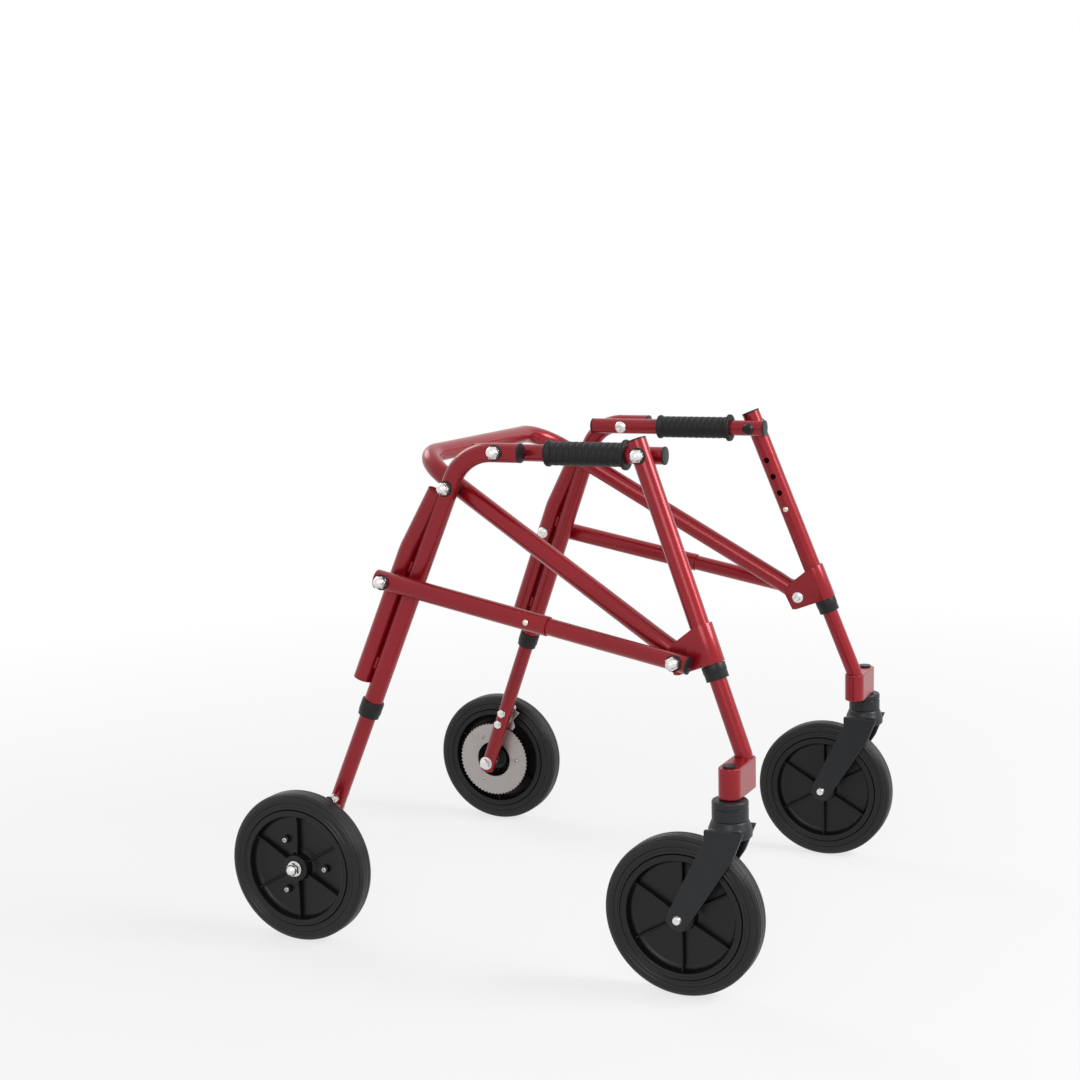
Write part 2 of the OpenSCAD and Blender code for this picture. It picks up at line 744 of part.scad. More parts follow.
cross_frame();
rear_leg(1);  // left_rear_leg
rear_leg_trim(1);  // left_rear_leg_trim
rear_pivot_bolts(1);  // left_rear_pivot_bolts
rear_lower_tube(1);  // left_rear_lower_tube
rear_axle(1);  // left_rear_axle
pawl_bolts(1);  // left_pawl_bolts
pawl_lever(1);  // left_pawl_lever
rear_tyre(1);  // left_rear_tyre
rear_rim(1);  // left_rear_rim
ratchet_ring(1);  // left_ratchet_ring
ring_screws(1);  // left_ring_screws
front_upright(1);  // left_front_upright
front_bracket(1);  // left_front_bracket
front_trim(1);  // left_front_trim
front_pivot_bolts(1);  // left_front_pivot_bolts
front_lower_tube(1);  // left_front_lower_tube
caster_block(1);  // left_caster_block
caster_fork(1);  // left_caster_fork
caster_stem(1);  // left_caster_stem
caster_axle(1);  // left_caster_axle
caster_tyre(1);  // left_caster_tyre
caster_rim(1);  // left_caster_rim
handle_tube(1);  // left_handle_tube
handle_grip(1);  // left_handle_grip
handle_caps(1);  // left_handle_caps
brace_sleeve(1);  // left_brace_sleeve
brace_inner_tube(1);  // left_brace_inner_tube
brace_button(1);  // left_brace_button
height_button(1);  // left_height_button
rear_leg(-1);  // right_rear_leg
rear_leg_trim(-1);  // right_rear_leg_trim
rear_pivot_bolts(-1);  // right_rear_pivot_bolts
rear_lower_tube(-1);  // right_rear_lower_tube
rear_axle(-1);  // right_rear_axle
pawl_bolts(-1);  // right_pawl_bolts
pawl_lever(-1);  // right_pawl_lever
rear_tyre(-1);  // right_rear_tyre
rear_rim(-1);  // right_rear_rim
ratchet_ring(-1);  // right_ratchet_ring
ring_screws(-1);  // right_ring_screws
front_upright(-1);  // right_front_upright
front_bracket(-1);  // right_front_bracket
front_trim(-1);  // right_front_trim
front_pivot_bolts(-1);  // right_front_pivot_bolts
front_lower_tube(-1);  // right_front_lower_tube
caster_block(-1);  // right_caster_block
caster_fork(-1);  // right_caster_fork
caster_stem(-1);  // right_caster_stem
caster_axle(-1);  // right_caster_axle
caster_tyre(-1);  // right_caster_tyre
caster_rim(-1);  // right_caster_rim
handle_tube(-1);  // right_handle_tube
handle_grip(-1);  // right_handle_grip
handle_caps(-1);  // right_handle_caps
brace_sleeve(-1);  // right_brace_sleeve
brace_inner_tube(-1);  // right_brace_inner_tube
brace_button(-1);  // right_brace_button
height_button(-1);  // right_height_button
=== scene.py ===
import json
from math import cos, exp, pi, radians, sin

import bmesh
import bpy
from mathutils import Matrix, Vector


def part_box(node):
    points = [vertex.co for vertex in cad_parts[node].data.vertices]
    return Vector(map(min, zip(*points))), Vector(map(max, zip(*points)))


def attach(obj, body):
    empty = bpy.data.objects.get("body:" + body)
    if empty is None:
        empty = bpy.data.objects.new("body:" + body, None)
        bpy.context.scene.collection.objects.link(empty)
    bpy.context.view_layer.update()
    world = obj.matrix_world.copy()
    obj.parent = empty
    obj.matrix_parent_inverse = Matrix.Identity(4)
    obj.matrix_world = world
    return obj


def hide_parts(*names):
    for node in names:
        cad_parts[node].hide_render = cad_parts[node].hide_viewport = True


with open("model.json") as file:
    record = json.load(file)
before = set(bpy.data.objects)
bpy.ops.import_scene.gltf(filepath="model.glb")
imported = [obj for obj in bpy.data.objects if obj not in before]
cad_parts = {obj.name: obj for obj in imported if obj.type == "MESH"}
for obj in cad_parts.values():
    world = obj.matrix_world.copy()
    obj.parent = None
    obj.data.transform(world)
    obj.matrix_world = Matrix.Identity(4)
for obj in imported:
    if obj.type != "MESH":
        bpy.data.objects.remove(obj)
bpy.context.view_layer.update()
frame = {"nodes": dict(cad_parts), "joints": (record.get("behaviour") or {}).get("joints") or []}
walker = frame["nodes"]
SIDES = ("left", "right")


# ---------- Camera ----------
# Standing height behind and to the right of the walker, looking forward
# along it, with a longish portrait lens so the far side stays nearly as big.
AIM = Vector((-0.3753, -0.1226, 0.5692))
DISTANCE = 2.2704
TURN, DIP, CANT = radians(65.065), radians(8.213), radians(-1.3)

look = Vector((sin(TURN) * cos(DIP), cos(TURN) * cos(DIP), -sin(DIP)))
level = look.cross(Vector((0, 0, 1))).normalized()
above = level.cross(look)
across = level * cos(CANT) + above * sin(CANT)
upward = above * cos(CANT) - level * sin(CANT)
lens = bpy.data.cameras.new("viewpoint")
lens.lens = 63.431
lens.sensor_width = 36
lens.clip_start, lens.clip_end = 0.05, 60
viewpoint = bpy.data.objects.new("viewpoint", lens)
bpy.context.scene.collection.objects.link(viewpoint)
viewpoint.matrix_world = Matrix.Translation(AIM - look * DISTANCE) @ Matrix(
    (across, upward, -look)
).transposed().to_4x4()
bpy.context.scene.camera = viewpoint


# ---------- Painted tubes, bracket and brace ----------
# Bent steel tube in a translucent red powder coat over a bright base, so it
# glows where light strikes and falls to dark crimson in the shade.
PAINT_DEEP = (0.19, 0.0010, 0.006, 1)
PAINT_BRIGHT = (0.46, 0.0040, 0.018, 1)
PAINT_RUB = (0.52, 0.05, 0.06, 1)


class Level:
    """One node's output, so that shader sums are written as sums."""

    def __init__(self, finish, socket):
        self.finish, self.socket = finish, socket

    def sum(self, operation, first, second=0.0):
        return self.finish.node(
            "ShaderNodeMath", {"operation": operation}, {0: first, 1: second}
        )

    def __add__(self, other):
        return self.sum("ADD", self, other)

    __radd__ = __add__

    def __mul__(self, other):
        return self.sum("MULTIPLY", self, other)

    __rmul__ = __mul__

    def __sub__(self, other):
        return self.sum("SUBTRACT", self, other)

    def __rsub__(self, other):
        return self.sum("SUBTRACT", other, self)

    def __truediv__(self, other):
        return self.sum("DIVIDE", self, other)

    def __pow__(self, other):
        return self.sum("POWER", self, other)


class Finish:
    """A surface finish being mixed; node() adds any node and hands back its output."""

    def __init__(self, name):
        self.material = bpy.data.materials.new(name)
        self.material.use_nodes = True
        self.tree = self.material.node_tree
        self.tree.nodes.clear()
        self.place = self.node("ShaderNodeTexCoord", out="Object")

    def node(self, kind, settings=None, sockets=None, out=0):
        made = self.tree.nodes.new(kind)
        for key, value in (settings or {}).items():
            if key == "stops":
                ramp = made.color_ramp.elements
                for stop, (at, shade) in zip((ramp[0], ramp[1]), value):
                    stop.position, stop.color = at, (shade, shade, shade, 1)
            else:
                setattr(made, key, value)
        for key, value in (sockets or {}).items():
            if isinstance(value, Level):
                self.tree.links.new(value.socket, made.inputs[key])
            else:
                made.inputs[key].default_value = value
        return Level(self, made.outputs[out])

    def speckle(self, scale, detail=2.0, rough=0.5, place=None):
        return self.node(
            "ShaderNodeTexNoise",
            {},
            {"Vector": place or self.place, "Scale": scale, "Detail": detail, "Roughness": rough},
        )

    def band(self, level, low, high):
        return self.node("ShaderNodeValToRGB", {"stops": ((low, 0), (high, 1))}, {0: level})

    def blend(self, first, second, amount):
        mixed = self.node(
            "ShaderNodeMix", {"data_type": "RGBA"}, {0: amount, 6: first, 7: second}, out=2
        )
        return mixed

    def relief(self, height, strength, depth, under=None):
        sockets = {"Height": height, "Strength": strength, "Distance": depth}
        if under is not None:
            sockets["Normal"] = under
        return self.node("ShaderNodeBump", {}, sockets)

    def surface(self, **sockets):
        sockets = {key.replace("_", " "): value for key, value in sockets.items()}
        shade = self.node("ShaderNodeBsdfPrincipled", {}, sockets)
        end = self.tree.nodes.new("ShaderNodeOutputMaterial")
        self.tree.links.new(shade.socket, end.inputs["Surface"])
        return self.material


def red_powder_coat():
    paint = Finish("red_powder_coat")
    drift = paint.speckle(7, 3)
    flake = paint.speckle(1600, 1)
    peel = paint.speckle(240, 2)
    rub = paint.band(paint.speckle(46, 4, 0.62), 0.66, 0.80) * 0.35
    glow = 0.42 + (drift - 0.5) * 0.45 + (flake - 0.5) * 0.55
    colour = paint.blend(PAINT_DEEP, PAINT_BRIGHT, glow)
    colour = paint.blend(colour, PAINT_RUB, rub * 0.3)
    return paint.surface(
        Base_Color=colour,
        Metallic=0.34 - rub * 0.3,
        Roughness=0.33 + (flake - 0.5) * 0.16 + rub * 0.25,
        Specular_IOR_Level=0.2,
        Coat_Weight=0.5,
        Coat_Roughness=0.2,
        Normal=paint.relief(peel, 0.12, 0.0003, paint.relief(flake, 0.06, 0.0001)),
    )


RED = red_powder_coat()


def dress(node, finish):
    """Gives a CAD node its finish and leaves its shape alone."""
    for place in walker[node].material_slots:
        place.material = finish


dress("cross_frame", RED)
for side in SIDES:
    for tube in ("rear_leg", "rear_lower_tube", "front_upright", "front_lower_tube",
                 "handle_tube", "brace_sleeve"):
        dress(f"{side}_{tube}", RED)


def settle(mesh, name, finishes, body, slot, *nodes):
    """Puts a finished mesh in the scene, on its body, in place of its CAD nodes."""
    finishes = finishes if isinstance(finishes, tuple) else (finishes,)
    numbers = [min(face.material_index, len(finishes) - 1) for face in mesh.polygons]
    mesh.name = name
    mesh.materials.clear()
    for finish in finishes:
        mesh.materials.append(finish)
    mesh.polygons.foreach_set("material_index", numbers)
    piece = bpy.data.objects.new(name, mesh)
    bpy.context.scene.collection.objects.link(piece)
    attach(piece, body)
    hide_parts(*nodes)
    return piece


def smooth(mesh, crease=35):
    mesh.shade_smooth()
    mesh.set_sharp_from_angle(angle=radians(crease))
    return mesh


def welded(node):
    """A closed copy of a CAD node's loose triangles."""
    shell = bmesh.new()
    shell.from_mesh(walker[node].data)
    bmesh.ops.remove_doubles(shell, verts=shell.verts, dist=3e-6)
    bmesh.ops.dissolve_degenerate(shell, edges=shell.edges, dist=1e-6)
    mesh = bpy.data.meshes.new(node + "_welded")
    shell.to_mesh(mesh)
    shell.free()
    return mesh


def baked(mesh, *changes):
    """The mesh after its modifiers, each given as (kind, settings)."""
    bench = bpy.data.objects.new("bench", mesh)
    bpy.context.scene.collection.objects.link(bench)
    for kind, settings in changes:
        change = bench.modifiers.new(kind.lower(), kind)
        for key, value in settings.items():
            setattr(change, key, value)
    bpy.context.view_layer.update()
    ready = bench.evaluated_get(bpy.context.evaluated_depsgraph_get())
    result = bpy.data.meshes.new_from_object(ready)
    bpy.data.objects.remove(bench)
    return result


def eased(node, edge):
    """A CAD node with its sharp edges broken by a small round."""
    flat = bmesh.new()
    flat.from_mesh(welded(node))
    bmesh.ops.dissolve_limit(
        flat, angle_limit=radians(0.6), verts=flat.verts, edges=flat.edges
    )
    mesh = bpy.data.meshes.new(node + "_eased")
    flat.to_mesh(mesh)
    flat.free()
    rounding = {"width": edge, "segments": 2, "limit_method": "ANGLE",
                "angle_limit": radians(38), "use_clamp_overlap": True, "profile": 0.6}
    return smooth(baked(mesh, ("BEVEL", rounding)), 40)


def moulded(node, grain, rounds):
    """A CAD node with the soft corners of a casting or moulding."""
    voxel = {"mode": "VOXEL", "voxel_size": grain, "use_smooth_shade": True}
    soften = {"factor": 0.5, "iterations": rounds}
    mesh = baked(welded(node), ("REMESH", voxel), ("SMOOTH", soften))
    mesh.shade_smooth()
    return mesh


for side in SIDES:
    settle(eased(f"{side}_front_bracket", 0.0006), f"{side}_wrap_bracket", RED,
           f"{side}_upright", "red_tube", f"{side}_front_bracket")
    settle(moulded(f"{side}_caster_block", 0.0009, 6), f"{side}_stem_block", RED,
           f"{side}_lower_front", "red_tube", f"{side}_caster_block")


# ---------- Bolts, dome nuts, axles and pawl bolts ----------
# Bright zinc-plated steel, pressed or turned, with a fine satin from the
# plating and slightly duller flats on the nuts.
ZINC_BRIGHT = (0.80, 0.79, 0.77, 1)
ZINC_DULL = (0.50, 0.49, 0.48, 1)


def zinc_plate(name, bright, dull, roughness):
    plate = Finish(name)
    cloud = plate.speckle(180, 4, 0.6)
    grain = plate.speckle(2600, 2)
    spot = plate.band(plate.speckle(420, 3, 0.7), 0.62, 0.74)
    colour = plate.blend(bright, dull, plate.band(cloud, 0.38, 0.72) * 0.3 + spot * 0.15)
    return plate.surface(
        Base_Color=colour,
        Metallic=1.0,
        Roughness=roughness + (cloud - 0.5) * 0.12 + spot * 0.1,
        Normal=plate.relief(grain, 0.10, 0.0001),
    )


ZINC = zinc_plate("zinc_plated_steel", ZINC_BRIGHT, ZINC_DULL, 0.27)
NUT_SEAT = 0.0143
BRACE_AXIS = 0.031
WASHER_R = 0.0105
BOLT_R = 0.004


def lathe(outline, steps=48):
    """A closed solid swept from (along, radius) points; a third number shares in hexagon flats."""
    solid = bmesh.new()
    rows = []
    for along, radius, *six in outline:
        if radius < 1e-7:
            rows.append([solid.verts.new((along, 0, 0))] * steps)
            continue
        row = []
        for k in range(steps):
            a = 2 * pi * k / steps
            flat = cos(pi / 6) / cos((a % (pi / 3)) - pi / 6)
            reach = radius * (1 + (flat - 1) * (six[0] if six else 0))
            row.append(solid.verts.new((along, reach * cos(a), reach * sin(a))))
        rows.append(row)
    for row, after in zip(rows, rows[1:]):
        for k in range(steps):
            m = (k + 1) % steps
            face = list(dict.fromkeys((row[k], row[m], after[m], after[k])))
            if len(face) > 2:
                solid.faces.new(face)
    bmesh.ops.recalc_face_normals(solid, faces=solid.faces)
    mesh = bpy.data.meshes.new("lathe")
    solid.to_mesh(mesh)
    solid.free()
    return mesh


def shank(start, stop, radius=BOLT_R):
    return lathe([(start, 0), (start, radius), (stop, radius), (stop, 0)], 32)


def washer(start, stop, radius=WASHER_R):
    edge = 0.0003
    return lathe([(start, 0), (start, radius - edge), (start + edge, radius),
                  (stop - edge, radius), (stop, radius - edge), (stop, 0)])


def acorn_nut(seat, way=1):
    """A domed nut: chamfered hexagon, a small neck, and the dome drawn over the thread."""
    outline = [(0, 0, 0), (0, 0.0080, 0), (0.0006, 0.0088, 0.6), (0.0012, 0.0090, 1),
               (0.0050, 0.0090, 1), (0.0057, 0.0086, 0.55), (0.0061, 0.0079, 0),
               (0.0063, 0.0076, 0)]
    outline += [(0.0063 + 0.0073 * sin(a), 0.0076 * cos(a), 0)
                for a in (pi / 2 * i / 12 for i in range(1, 12))]
    outline += [(0.0136, 0, 0)]
    return lathe([(seat + way * x, r, six) for x, r, six in outline], 72)


def button_head(seat, way=-1):
    """A low round bolt head with a socket for the key."""
    outline = [(0, 0), (0, 0.0083), (0.0004, 0.0086), (0.0013, 0.0083), (0.0026, 0.0072),
               (0.0036, 0.0054), (0.0040, 0.0036), (0.0040, 0.0027), (0.0016, 0.0025), (0.0014, 0)]
    return lathe([(seat + way * x, r) for x, r in outline])


def gathered(*meshes):
    """Several meshes as one; each face keeps the number of the mesh group it came from."""
    pile = bmesh.new()
    for mesh in meshes:
        number = 0
        if isinstance(mesh, tuple):
            mesh, number = mesh
        known = len(pile.faces)
        pile.from_mesh(mesh)
        pile.faces.ensure_lookup_table()
        for face in pile.faces[known:]:
            face.material_index = number
    mesh = bpy.data.meshes.new("gathered")
    pile.to_mesh(mesh)
    pile.free()
    return mesh


def pivot(name):
    """A joint's place, and the direction outboard along its axis."""
    joint = next(j for j in frame["joints"] if j["name"] == name)
    place, axis = Vector(joint["pos_m"]), Vector(joint["axis"]).normalized()
    return place, axis if axis.x * place.x > 0 else -axis


def set_on(mesh, place, outward):
    """Moves a mesh drawn along x so that x runs outward from the place."""
    back = Vector((0, 1, 0)) if outward.x > 0 else Vector((0, -1, 0))
    rise = outward.cross(back)
    mesh.transform(
        Matrix.Translation(place) @ Matrix((outward, back, rise)).transposed().to_4x4()
    )
    return mesh


def moulded_nylon(name, dark, pale, roughness, grain_scale=1500):
    """Injection-moulded nylon with a fine spark-eroded grain and a few scuffs."""
    nylon = Finish(name)
    grain = nylon.speckle(grain_scale, 2)
    flow = nylon.speckle(24, 3)
    scuff = nylon.band(nylon.speckle(85, 5, 0.68), 0.64, 0.78)
    colour = nylon.blend(dark, pale, flow * 0.5 + scuff * 0.35)
    return nylon.surface(
        Base_Color=colour,
        Metallic=0.0,
        Roughness=roughness + (grain - 0.5) * 0.2 + scuff * 0.12,
        Specular_IOR_Level=0.32,
        Normal=nylon.relief(grain, 0.22, 0.00015),
    )


NYLON_BLACK = (0.004, 0.004, 0.0045, 1)
NYLON_GREY = (0.014, 0.015, 0.017, 1)
BLACK_NYLON = moulded_nylon("black_nylon", NYLON_BLACK, NYLON_GREY, 0.42)
METAL, PLASTIC = 0, 1

for side in SIDES:
    # The leg's three: handle pivot, frame pivot, brace pivot with its washer.
    handle_bolt, outward = pivot(f"{side}_fold")
    grip_end, _ = pivot(f"{side}_handle_pivot")
    frame_end, _ = pivot(f"{side}_fold")
    brace_end, _ = pivot(f"{side}_brace_pivot")
    brace_seat = BRACE_AXIS + 0.0131
    leg_set = [set_on(gathered(shank(-0.0363, NUT_SEAT), acorn_nut(NUT_SEAT),
                               button_head(-0.0363)), grip_end, outward),
               set_on(gathered(shank(-0.0438, NUT_SEAT), acorn_nut(NUT_SEAT),
                               button_head(-0.0438)), frame_end, outward),
               set_on(gathered(shank(-0.0129, brace_seat + 0.0016),
                               acorn_nut(brace_seat + 0.0016), button_head(-0.0129)),
                      brace_end, outward),
               (set_on(washer(brace_seat, brace_seat + 0.0016), brace_end, outward), PLASTIC)]
    settle(smooth(gathered(*leg_set)), f"{side}_leg_fasteners", (ZINC, BLACK_NYLON),
           f"{side}_leg", "chrome", f"{side}_rear_pivot_bolts")

    # The upright's two: the handle's front nut, and the head inside the bracket.
    span = frame["nodes"][f"{side}_front_pivot_bolts"]
    bracket_end, _ = pivot(f"{side}_upright_fold")
    nut_points = [v.co for v in span.data.vertices if v.co.z > 0.55]
    low = Vector(tuple(min(p[i] for p in nut_points) for i in range(3)))
    high = Vector(tuple(max(p[i] for p in nut_points) for i in range(3)))
    upper_end = Vector((grip_end.x, (low.y + high.y) / 2, grip_end.z))
    upright_set = [set_on(gathered(shank(-0.0124, NUT_SEAT), acorn_nut(NUT_SEAT)),
                          upper_end, outward),
                   set_on(gathered(shank(-0.0160, 0.0160), button_head(-0.0160)),
                          bracket_end, outward)]
    settle(smooth(gathered(*upright_set)), f"{side}_upright_fasteners", ZINC,
           f"{side}_upright", "chrome", f"{side}_front_pivot_bolts")

    # The brace tube's front end carries its own nut, washers and end plug.
    brace = eased(f"{side}_brace_inner_tube", 0.0004)
    along = Vector(next(j for j in frame["joints"] if j["name"] == f"{side}_brace_slide")["axis"])
    for face in brace.polygons:
        offset = face.center - bracket_end
        depth = offset.dot(outward)
        spread = (offset - outward * depth).length
        tip = -offset.dot(along)
        ringed = spread < 0.0107 and (0.0415 < depth < 0.04375 or 0.0162 < depth < 0.0206)
        face.material_index = (
            1 if spread < 0.0107 and depth >= 0.04375 else 2 if ringed or tip > 0.01405 else 0
        )
    settle(brace, f"{side}_brace_inner_fitted", (RED, ZINC, BLACK_NYLON),
           f"{side}_brace_inner", "red_tube", f"{side}_brace_inner_tube")

    for node, body in (("rear_axle", "lower_rear"), ("pawl_bolts", "lower_rear"),
                       ("caster_axle", "fork")):
        settle(eased(f"{side}_{node}", 0.0006), f"{side}_{node}_plated", ZINC,
               f"{side}_{body}", "chrome", f"{side}_{node}")


# ---------- Collars, end plugs, washers and spacers ----------
# Injection-moulded black nylon with a fine spark-eroded grain and a soft
# sheen; the edges are broken where the mould parts.
for side in SIDES:
    for node, body in (("rear_leg_trim", "leg"), ("front_trim", "upright"),
                       ("handle_caps", "handle")):
        settle(eased(f"{side}_{node}", 0.0007), f"{side}_{node}_moulded", BLACK_NYLON,
               f"{side}_{body}", "black_plastic", f"{side}_{node}")


# ---------- Snap buttons ----------
# Spring-loaded pins of plated steel that lock the brace and the front tubes;
# the end that a thumb presses is domed and a little yellowed.
BUTTON_PALE = (0.78, 0.70, 0.58, 1)
BUTTON_DULL = (0.46, 0.38, 0.28, 1)
BRASSED = zinc_plate("passivated_button", BUTTON_PALE, BUTTON_DULL, 0.34)
for side in SIDES:
    for node, body in (("brace_button", "brace_lock"), ("height_button", "height_lock")):
        settle(eased(f"{side}_{node}", 0.0005), f"{side}_{node}_pin", BRASSED,
               f"{side}_{body}", "chrome", f"{side}_{node}")


# ---------- Handle grips ----------
# A soft rubber sleeve pushed on the handle tube: ringed with shallow grooves,
# a thumb flange in front and a thicker bead at the back.
GRIP_BEAD = 0.0016
GRIP_R = 0.0156
GRIP_BORE = 0.01112
GRIP_RINGS = 11
RUBBER = moulded_nylon("grip_rubber", (0.003, 0.003, 0.0035, 1), (0.012, 0.0125, 0.014, 1), 0.5, 900)


def turned(outline, steps, worn=None):
    """A closed ring swept from an outline of (along, radius) points round the x axis."""
    ring = bmesh.new()
    rows = []
    for along, radius in outline:
        if radius < 1e-7:
            rows.append([ring.verts.new((along, 0, 0))] * steps)
        else:
            rows.append([
                ring.verts.new((along, radius * cos(2 * pi * k / steps),
                                radius * sin(2 * pi * k / steps)))
                for k in range(steps)
            ])
    for i, row in enumerate(rows):
        after = rows[(i + 1) % len(rows)]
        if row[0] is row[1] and after[0] is after[1]:
            continue
        for k in range(steps):
            m = (k + 1) % steps
            corners = [row[k], row[m], after[m], after[k]]
            ring.faces.new(list(dict.fromkeys(corners)))
    bmesh.ops.recalc_face_normals(ring, faces=ring.faces)
    mesh = bpy.data.meshes.new("turned")
    ring.to_mesh(mesh)
    ring.free()
    if worn:
        marks = mesh.attributes.new("worn", "FLOAT", "POINT")
        for k, value in enumerate(worn):
            for m in range(steps):
                marks.data[k * steps + m].value = value
    return mesh


def grip_outline(length, flange):
    profile = [(0.0006, GRIP_BORE), (0.0, GRIP_BORE + 0.0006)]
    count = 260
    for i in range(count + 1):
        s = length * i / count
        radius = GRIP_R
        if s < 0.006:
            radius += GRIP_BEAD * min(1, max(0, (0.006 - s) / 0.0022))
        for ring in range(1, GRIP_RINGS + 1):
            off = (s - length * ring / (GRIP_RINGS + 1.5)) / 0.0011
            radius -= 0.0009 * exp(-off * off)
        lift = (s - (length - 0.0068)) / 0.0026
        if lift > 0:
            ease = min(1, lift)
            radius += (flange - GRIP_R) * ease * ease * (3 - 2 * ease)
        edge = min(s, length - s) / 0.0018
        if edge < 1:
            radius -= 0.0016 * (1 - (1 - (1 - edge) ** 2) ** 0.5)
        profile.append((s, radius))
    profile += [(length, GRIP_BORE + 0.0006), (length - 0.0006, GRIP_BORE)]
    return profile


for side in SIDES:
    low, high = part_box(f"{side}_handle_grip")
    middle = (low + high) / 2
    sleeve = smooth(turned(grip_outline(high.y - low.y, (high.z - low.z) / 2), 96), 50)
    sleeve.transform(
        Matrix.Translation((middle.x, high.y, middle.z)) @ Matrix.Rotation(-pi / 2, 4, "Z")
    )
    settle(sleeve, f"{side}_ringed_grip", RUBBER, f"{side}_handle", "grip",
           f"{side}_handle_grip")


# ---------- Tyres ----------
# Solid black rubber tyres, moulded with fine ribs round the tread and the
# shoulders and two shallow rings in each sidewall; the tread is dulled by use.
TYRE_SEAT = 0.0796
TYRE_EDGE = 0.009


def groove(at, centre, width, depth):
    off = abs(at - centre) / width
    return depth * (1 - off * off) ** 2 if off < 1 else 0.0


def tyre_outline(radius, half):
    """One half's outline from the seat to the middle of the tread, then its mirror."""
    side_points = [(half - 0.0012, TYRE_SEAT, 0), (half - 0.0002, TYRE_SEAT + 0.0010, 0)]
    shoulder = radius - TYRE_EDGE
    steps = 26
    for i in range(steps + 1):
        r = TYRE_SEAT + 0.0014 + (shoulder - TYRE_SEAT - 0.0014) * i / steps
        cut = groove(r, shoulder - 0.004, 0.0011, 0.0009)
        cut += groove(r, shoulder - 0.009, 0.0011, 0.0009)
        side_points.append((half - cut, r, 0))
    for i in range(1, 31):
        a = pi / 2 * i / 30
        cut = sum(groove(a, at, 0.075, 0.0007) for at in (0.62, 0.92, 1.22))
        reach = TYRE_EDGE - cut
        side_points.append(
            (half - TYRE_EDGE + reach * cos(a), shoulder + reach * sin(a), min(1, a))
        )
    flat = half - TYRE_EDGE
    for i in range(1, 15):
        x = flat * (1 - i / 14)
        cut = groove(x, 0.0038, 0.0009, 0.0009)
        side_points.append((x, radius - cut, 1))
    mirrored = [(-x, r, w) for x, r, w in reversed(side_points[:-1])]
    return side_points + mirrored


def tyre_rubber():
    rubber = Finish("tyre_rubber")
    worn = rubber.node("ShaderNodeAttribute", {"attribute_name": "worn"}, out="Fac")
    grain = rubber.speckle(1100, 3)
    dust = rubber.band(rubber.speckle(38, 5, 0.65), 0.45, 0.75)
    colour = rubber.blend((0.0035, 0.0035, 0.004, 1), (0.010, 0.010, 0.011, 1), worn * 0.7)
    colour = rubber.blend(colour, (0.030, 0.028, 0.027, 1), dust * (0.12 + worn * 0.22))
    return rubber.surface(
        Base_Color=colour,
        Metallic=0.0,
        Roughness=0.31 + worn * 0.10 + dust * 0.10 + (grain - 0.5) * 0.12,
        Specular_IOR_Level=0.38,
        Normal=rubber.relief(grain, 0.18, 0.0002),
    )


TYRE_RUBBER = tyre_rubber()
for side in SIDES:
    for node, body in (("rear_tyre", "rear_wheel"), ("caster_tyre", "caster_wheel")):
        low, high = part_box(f"{side}_{node}")
        outline = tyre_outline((high.z - low.z) / 2, (high.x - low.x) / 2)
        tread = turned([(x, r) for x, r, _ in outline], 144, [w for _, _, w in outline])
        smooth(tread, 60).transform(Matrix.Translation((low + high) / 2))
        settle(tread, f"{side}_{node}_ribbed", TYRE_RUBBER, f"{side}_{body}", "tyre",
               f"{side}_{node}")


# ---------- Wheel rims ----------
# One-piece moulded nylon: a dished web between hub and barrel, with six thin
# ribs on each face; the rear ones carry three bosses for the ratchet ring.
RIM_HALF = 0.0168
RIM_SEAT = 0.0794
BARREL_R = 0.0705
HUB_R = 0.018
HUB_BORE = 0.0051
WEB = 0.0025
RIBS = 6
RIB_T = 0.0036
SCREW_CIRCLE = 0.040
RING_FACE = 0.024


